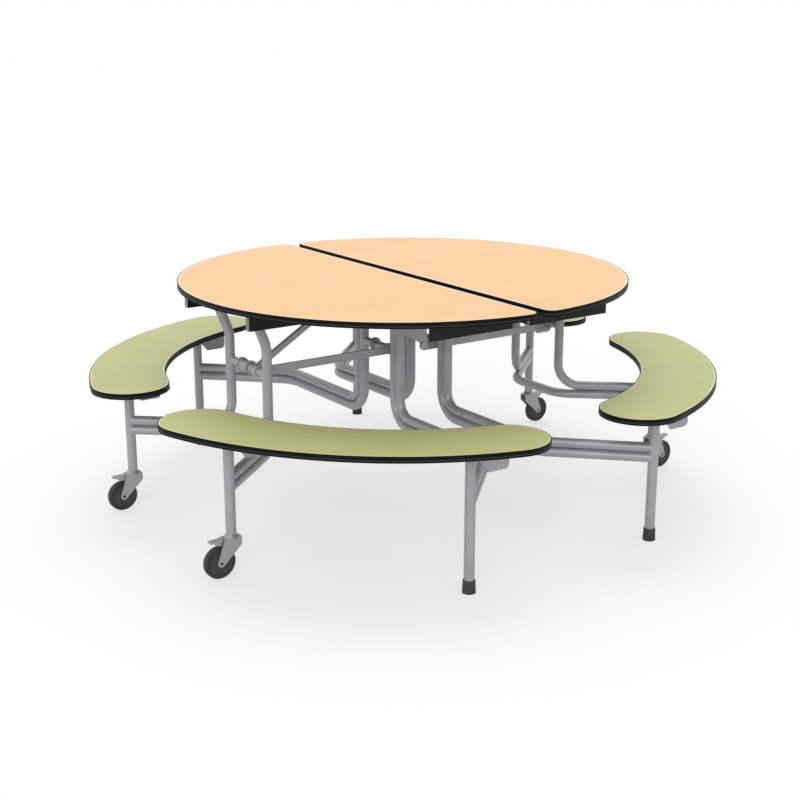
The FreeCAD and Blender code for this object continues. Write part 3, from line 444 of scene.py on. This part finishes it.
def make_materials():
    """One material for each of the record's material slots, and those that only boards have."""
    return {
        "top_laminate": laminate(
            "peach_laminate", shade(250, 203, 148), shade(243, 194, 138), ALONG_GRAIN
        ),
        # The rim colours are the laminate's cut edge, painted brighter as a highlight.
        "top_rim": rim_laminate("peach_laminate_edge_highlight", shade(255, 242, 212), shade(250, 232, 196)),
        "seat_laminate": laminate(
            "green_laminate", shade(193, 197, 132), shade(184, 188, 123), ALONG_GRAIN
        ),
        "seat_rim": rim_laminate("green_laminate_edge_highlight", shade(216, 221, 166), shade(206, 211, 154)),
        "backer": backer_sheet(),
        "edge_moulding": moulding("black_top_moulding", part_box("left_top_edge")[0].z),
        "seat_moulding": moulding("black_seat_moulding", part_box("left_front_seat_edge")[0].z),
        "apron_paint": apron_paint(),
        "frame_paint": frame_paint("silver_frame_paint"),
        "caster_leg_paint": caster_leg_paint(),
        "zinc_plate": zinc_plate("zinc_plating"),
        "black_rubber": rubber(
            "black_tip_rubber", deep=shade(50, 50, 51), pale=shade(72, 72, 72), rough=0.6
        ),
    }


# ---------------------------------------------------------------- pieces

def dress(thing, *materials):
    """Gives a piece these materials, the first one on every face that had none of its own."""
    thing.data.materials.clear()
    for material in materials:
        thing.data.materials.append(material)


def put_in_scene(name, data):
    """A new object with this mesh, lamp or camera, in the scene."""
    thing = bpy.data.objects.new(name, data)
    bpy.context.scene.collection.objects.link(thing)
    return thing


def copy_of(node, *materials):
    """A new piece with the CAD node's mesh, and that mesh joined up and ready to edit."""
    piece = put_in_scene(node + "_dressed", frame["nodes"][node].data.copy())
    dress(piece, *materials)
    shape = bmesh.new()
    shape.from_mesh(piece.data)
    bmesh.ops.remove_doubles(shape, verts=shape.verts, dist=SAME_POINT)
    return piece, shape


def put_in_place(piece, shape, node, body):
    """The edited mesh goes back into the piece, which then stands for the CAD node."""
    shape.to_mesh(piece.data)
    shape.free()
    old_normals = piece.data.attributes.get("custom_normal")
    if old_normals:
        piece.data.attributes.remove(old_normals)
    piece.data.set_sharp_from_angle(angle=SHARP_ANGLE)
    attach(piece, body)
    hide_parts(node)


def touches_wall(vert):
    """True for a corner that also belongs to the board's upright side."""
    return any(abs(face.normal.z) < UPRIGHT for face in vert.link_faces)


def rimmed_board(node, body, face_material, rim_material, backer):
    """The board again with its backer sheet, and a narrow pale ring that slopes to the moulding."""
    board, shape = copy_of(node, face_material, rim_material, backer)
    top = max(vert.co.z for vert in shape.verts)
    upper = [
        face for face in shape.faces
        if face.normal.z > FLAT and top - face.calc_center_median().z < RIM_DROP
    ]
    sheet = bmesh.ops.dissolve_faces(shape, faces=upper)["region"]
    outline = {vert for face in sheet for vert in face.verts}
    ring = bmesh.ops.inset_region(
        shape, faces=sheet, thickness=RIM_WIDTH, use_even_offset=True, use_boundary=True
    )["faces"]
    for vert in outline:
        if touches_wall(vert):
            vert.co.z -= RIM_DROP
    for face in shape.faces:
        face.smooth = False
        face.material_index = 2 if face.normal.z < -FLAT else 0
    for face in ring:
        # The ring takes the rim material, whose pale colour is partly a painted highlight.
        face.material_index = 1
    put_in_place(board, shape, node, body)


def grooved_moulding(node, body, material):
    """The edge moulding again, with a shallow groove cut round its outer face."""
    edge, shape = copy_of(node, material)
    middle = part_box(node)[0].z + GROOVE_HEIGHT
    for height in (middle - GROOVE_HALF, middle, middle + GROOVE_HALF):
        bmesh.ops.bisect_plane(
            shape,
            geom=list(shape.verts) + list(shape.edges) + list(shape.faces),
            plane_co=(0.0, 0.0, height),
            plane_no=(0.0, 0.0, 1.0),
            dist=SAME_POINT,
        )
    for face in shape.faces:
        face.smooth = True
    shape.normal_update()
    for vert in shape.verts:
        if abs(vert.co.z - middle) < SAME_POINT:
            vert.co -= vert.normal * GROOVE_DEPTH
    put_in_place(edge, shape, node, body)


def collar_ring(name, body, material, middle):
    """A raised, chamfered ring round a level tube that runs along Y."""
    shape = bmesh.new()
    turns = [2.0 * math.pi * step / RING_STEPS for step in range(RING_STEPS)]
    sections = [
        [
            shape.verts.new(
                middle + Vector((radius * math.cos(turn), along, radius * math.sin(turn)))
            )
            for along, radius in RING_SECTION
        ]
        for turn in turns
    ]
    for step, section in enumerate(sections):
        after = sections[(step + 1) % RING_STEPS]
        for corner in range(len(RING_SECTION)):
            following = (corner + 1) % len(RING_SECTION)
            shape.faces.new((section[corner], section[following], after[following], after[corner]))
    bmesh.ops.recalc_face_normals(shape, faces=shape.faces)
    for face in shape.faces:
        face.smooth = True
    mesh = bpy.data.meshes.new(name)
    shape.to_mesh(mesh)
    shape.free()
    mesh.set_sharp_from_angle(angle=SHARP_ANGLE)
    ring = put_in_scene(name, mesh)
    dress(ring, material)
    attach(ring, body)


# ---------------------------------------------------------------- stage

def seen_directly(tree):
    """1 for a ray from the camera, off a mirror or through glass, and 0 for light on the object."""
    path = add(tree, "ShaderNodeLightPath")
    mirror = arithmetic(
        tree, "MAXIMUM", path.outputs["Is Glossy Ray"], path.outputs["Is Transmission Ray"]
    )
    return arithmetic(tree, "MAXIMUM", path.outputs["Is Camera Ray"], mirror)


def make_floor():
    """A pale floor that reads as white and keeps the object's soft shadow."""
    mesh = bpy.data.meshes.new("floor")
    half = FLOOR_HALF
    corners = [(-half, -half, 0.0), (half, -half, 0.0), (half, half, 0.0), (-half, half, 0.0)]
    mesh.from_pydata(corners, [], [(0, 1, 2, 3)])
    floor = put_in_scene("floor", mesh)
    material = bpy.data.materials.new("pale_floor")
    material.use_nodes = True
    tree = material.node_tree
    tree.nodes.clear()
    plain = add(tree, "ShaderNodeBsdfDiffuse", {"Color": (0.80, 0.80, 0.80, 1.0)})
    shadowed = add(tree, "ShaderNodeBsdfDiffuse", {"Color": FLOOR_SHADING})
    glow = add(tree, "ShaderNodeEmission", {"Color": (1.0, 1.0, 1.0, 1.0), "Strength": FLOOR_GLOW})
    shown = add(tree, "ShaderNodeAddShader", {0: shadowed.outputs[0], 1: glow.outputs[0]})
    surface = add(
        tree,
        "ShaderNodeMixShader",
        {0: seen_directly(tree), 1: plain.outputs[0], 2: shown.outputs[0]},
    )
    add(tree, "ShaderNodeOutputMaterial", {"Surface": surface.outputs[0]})
    mesh.materials.append(material)


def make_world():
    """White where it is seen, and an even soft light on everything else."""
    world = bpy.data.worlds.new("studio")
    bpy.context.scene.world = world
    world.use_nodes = True
    tree = world.node_tree
    tree.nodes.clear()
    strength = between(tree, seen_directly(tree), WORLD_LIGHT, 1.0, start=0.0, end=1.0)
    light = add(tree, "ShaderNodeBackground", {"Color": (1.0, 1.0, 1.0, 1.0), "Strength": strength})
    add(tree, "ShaderNodeOutputWorld", {"Surface": light.outputs[0]})


def make_sun(name, strength, softness, height, heading):
    """A far, broad lamp, in degrees: its height over the floor, and its heading from the front
    (-Y) round to the right (+X)."""
    lamp = bpy.data.lights.new(name, "SUN")
    lamp.energy = strength
    lamp.angle = math.radians(softness)
    holder = put_in_scene(name, lamp)
    holder.rotation_euler = (math.radians(90.0 - height), 0.0, math.radians(heading))


def make_lights():
    """A high, soft key lamp from behind, and a low fill lamp from the front left."""
    make_sun("key_lamp", strength=0.9, softness=50.0, height=62.0, heading=150.0)
    make_sun("fill_lamp", strength=0.75, softness=28.0, height=25.0, heading=-50.0)


def make_camera():
    """The camera at the photograph's place and angle."""
    data = bpy.data.cameras.new("photo_camera")
    data.lens = CAMERA_LENS
    data.sensor_width = SENSOR_WIDTH
    camera = put_in_scene("photo_camera", data)
    camera.location = CAMERA_PLACE
    camera.rotation_euler = (math.pi / 2 - CAMERA_DOWN, 0.0, -CAMERA_TURN)
    bpy.context.scene.camera = camera


# ---------------------------------------------------------------- building

def material_for(part, materials):
    """A CAD node takes its record slot's material, but for the few that have one of their own."""
    node = part["node"]
    if node.endswith("_caster_wheel"):
        low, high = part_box(node)
        return wheel_rubber(node + "_rubber", (low + high) / 2)
    if node.endswith("_caster_fork"):
        low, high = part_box(node.replace("fork", "wheel"))
        return fork_plating(node + "_plating", (low + high) / 2)
    if node.endswith("_caster_legs"):
        return materials["caster_leg_paint"]
    if node.endswith("_seat_edge"):
        return materials["seat_moulding"]
    return materials[part["material_slot"]]


def dress_frame(materials):
    """Gives every CAD node its material."""
    for part in frame["record"]["subparts"]:
        dress(frame["nodes"][part["node"]], material_for(part, materials))


def dress_boards(materials):
    """Replaces the tops' and seats' boards and edge mouldings by finished ones."""
    for side in SIDES:
        rimmed_board(
            f"{side}_top_board",
            f"{side}_top",
            materials["top_laminate"],
            materials["top_rim"],
            materials["backer"],
        )
        grooved_moulding(
            f"{side}_top_edge", f"{side}_top", materials["edge_moulding"]
        )
        for end in ENDS:
            bench = f"{side}_{end}_bench"
            rimmed_board(
                f"{side}_{end}_seat_board",
                bench,
                materials["seat_laminate"],
                materials["seat_rim"],
                materials["backer"],
            )
            grooved_moulding(
                f"{side}_{end}_seat_edge", bench, materials["seat_moulding"]
            )


def ring_collars(paint):
    """Two rings on each outer cross tube's long collar, and one on each centre tube's short one."""
    centre_low, centre_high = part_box("centre_pivot_tubes")
    for side, side_sign in SIDES.items():
        low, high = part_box(f"{side}_pivot_tube")
        axis = (low + high) / 2
        for end, along in OUTER_RINGS.items():
            place = Vector((axis.x, along, axis.z))
            collar_ring(f"{side}_collar_ring_{end}", f"{side}_caster_frame", paint, place)
        centre_x = side_sign * (centre_high.x - COLLAR_RADIUS)
        place = Vector((centre_x, CENTRE_RING, (centre_low.z + centre_high.z) / 2))
        collar_ring(f"{side}_centre_collar_ring", "centre_frame", paint, place)


bpy.context.scene.view_settings.view_transform = "Standard"
make_camera()
make_floor()
make_world()
make_lights()
all_materials = make_materials()
dress_frame(all_materials)
dress_boards(all_materials)
ring_collars(all_materials["frame_paint"])
